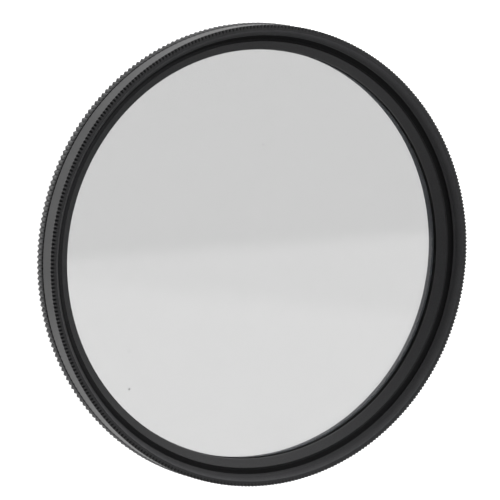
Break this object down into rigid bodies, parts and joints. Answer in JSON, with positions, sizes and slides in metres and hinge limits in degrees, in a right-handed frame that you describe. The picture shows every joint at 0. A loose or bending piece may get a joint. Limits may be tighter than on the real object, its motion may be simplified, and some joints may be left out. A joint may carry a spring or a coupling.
{
  "type": "screw-in lens filter",
  "caption": "Round screw-in camera lens filter: ridged mount ring with a male thread, turning front ring with a serrated edge and female thread, and light grey polarising glass.",
  "frame": {"origin": "centre of the end of the male thread, on which the filter lies", "axes": "+Z along the optical axis and out of the front rim, X and Y across the filter"},
  "size_m": [0.0804, 0.0804, 0.0085],
  "materials": {
    "mount_ring_black": "black anodised, satin",
    "front_ring_black": "black anodised, satin",
    "front_glass_clear": "polished, coated",
    "film_grey": "clear film, neutral grey",
    "rear_glass_clear": "polished, coated",
    "retainer_black": "black anodised, matt"
  },
  "bodies": {
    "lens_side": {"rear_mount_ring": "mount_ring_black"},
    "turning_front": {"front_ring": "front_ring_black", "front_glass": "front_glass_clear", "polarising_film": "film_grey", "rear_glass": "rear_glass_clear", "retaining_ring": "retainer_black"}
  },
  "joints": [
    {"name": "front_ring_turn", "type": "hinge", "parent": "lens_side", "child": "turning_front", "pos_m": [0, 0, 0.00425], "axis": [0, 0, 1], "continuous": true}
  ]
}
